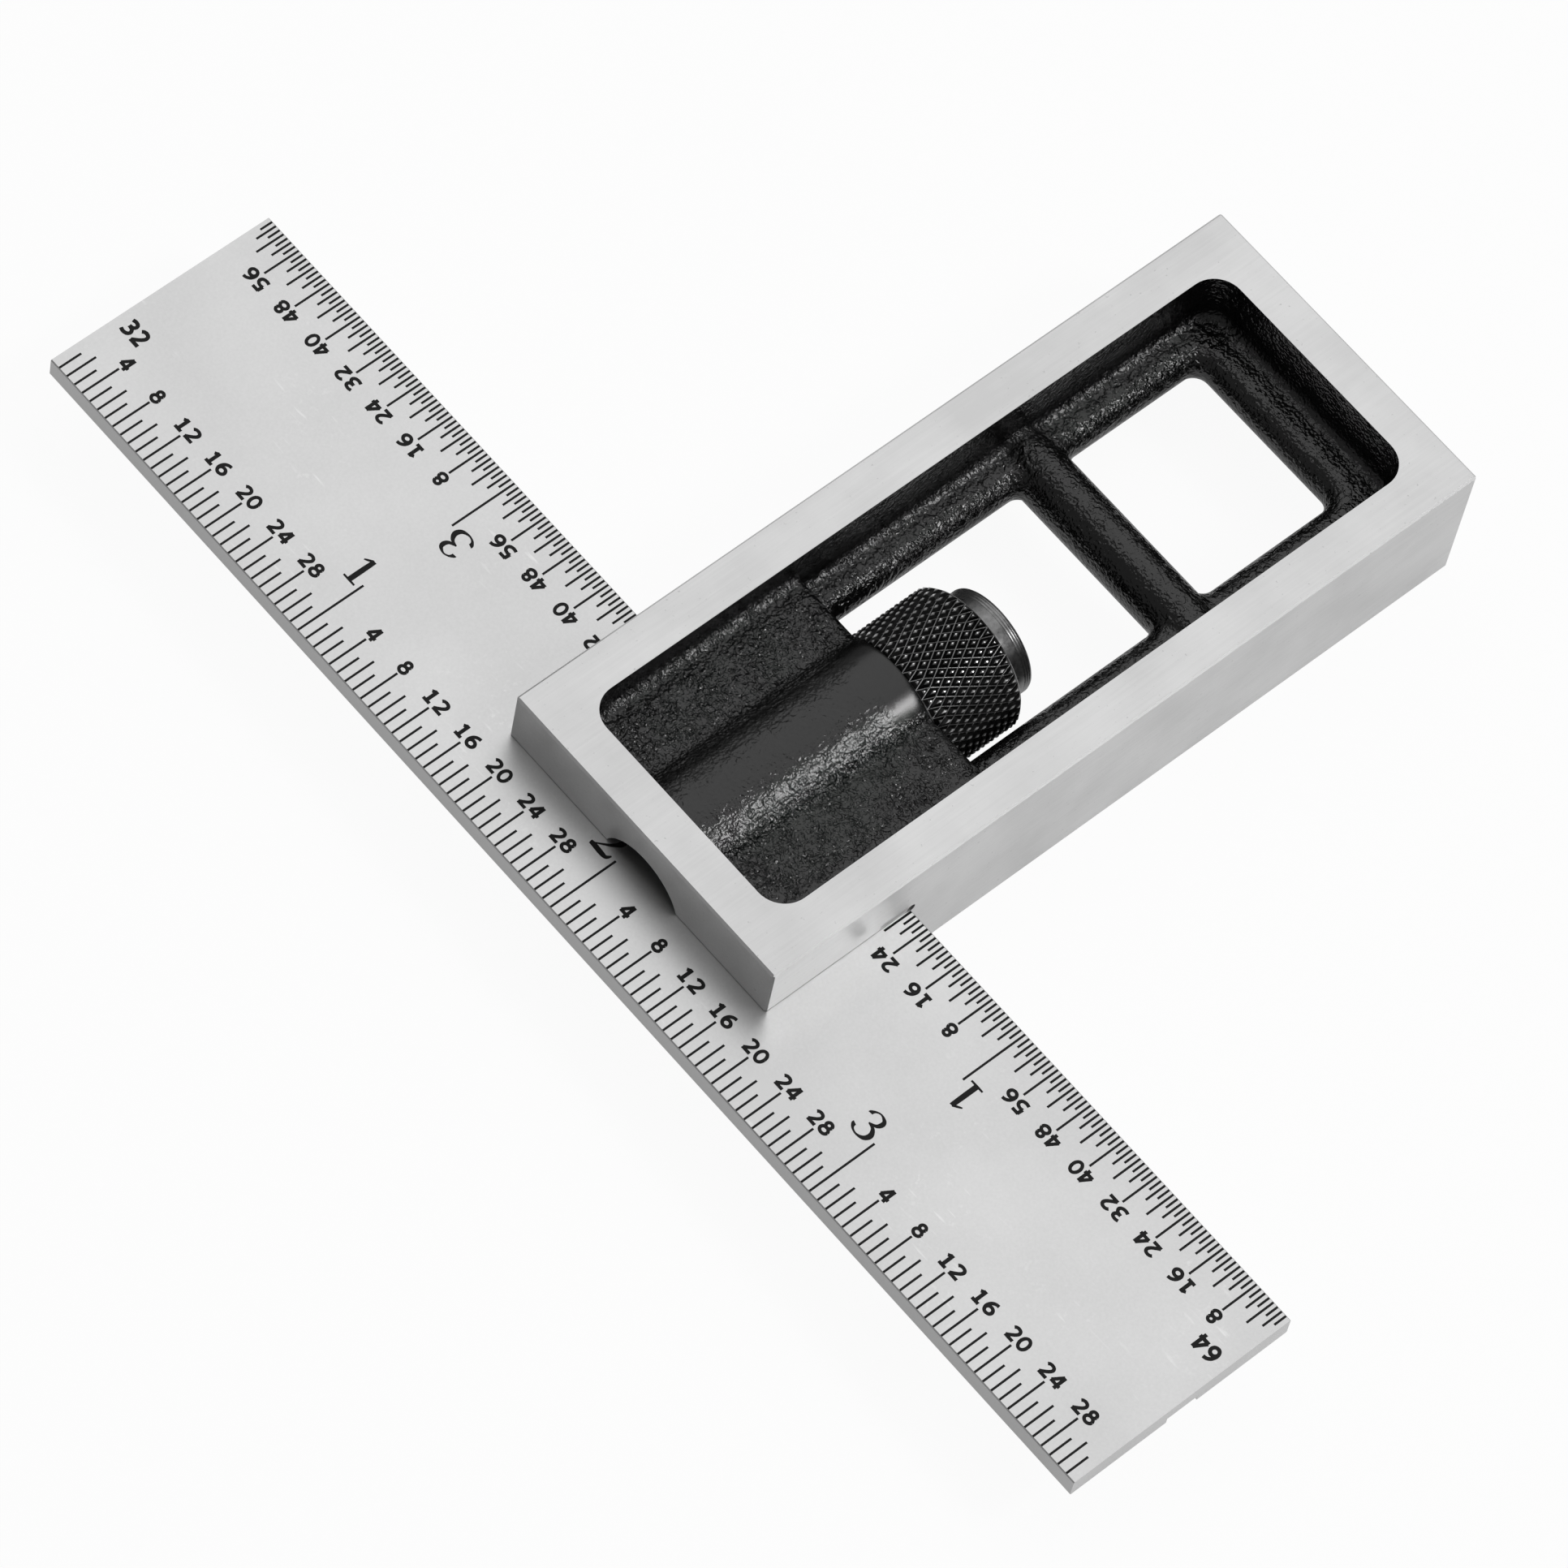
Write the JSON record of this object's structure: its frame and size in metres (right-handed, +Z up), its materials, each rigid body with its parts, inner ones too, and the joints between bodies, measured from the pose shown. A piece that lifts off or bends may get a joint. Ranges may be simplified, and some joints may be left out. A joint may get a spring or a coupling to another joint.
{
  "type": "double square",
  "caption": "Small try square with a graduated blade that slides through a cast head and is locked by a knurled nut.",
  "frame": {"origin": "middle of the whole object in plan, on the plane that the head's lower face lies on", "axes": "+X along the head from its slotted end to its far end, +Y along the blade, +Z up out of the face that carries the read side of the blade"},
  "size_m": [0.0672, 0.1016, 0.0116],
  "materials": {
    "head_iron": "fine-ground outside, black wrinkle paint in the pockets",
    "blade_chrome": "satin chrome plate with etched and filled graduations",
    "bolt_steel": "black oxide, turned and milled",
    "spring_steel": "drawn wire",
    "nut_steel": "black oxide over turning and a diamond knurl"
  },
  "bodies": {
    "head": {"head": "head_iron", "release_spring": "spring_steel"},
    "blade": {"blade": "blade_chrome"},
    "clamp_bolt": {"clamp_bolt": "bolt_steel"},
    "lock_nut": {"lock_nut": "nut_steel"}
  },
  "joints": [
    {"name": "blade_slide", "type": "slide", "parent": "head", "child": "blade", "axis": [0, 1, 0], "range_m": [-0.0395, 0.0367]},
    {"name": "lock_nut_turn", "type": "hinge", "parent": "head", "child": "lock_nut", "pos_m": [-0.00615, -0.00185, 0.0055], "axis": [1, 0, 0], "range_deg": [0, 360]},
    {"name": "clamp_bolt_slide", "type": "slide", "parent": "head", "child": "clamp_bolt", "axis": [1, 0, 0], "range_m": [-0.00079375, 0]}
  ],
  "couplings": [
    {"joint": "lock_nut_turn", "follows": "clamp_bolt_slide", "rad_per_m": -7915.7}
  ]
}
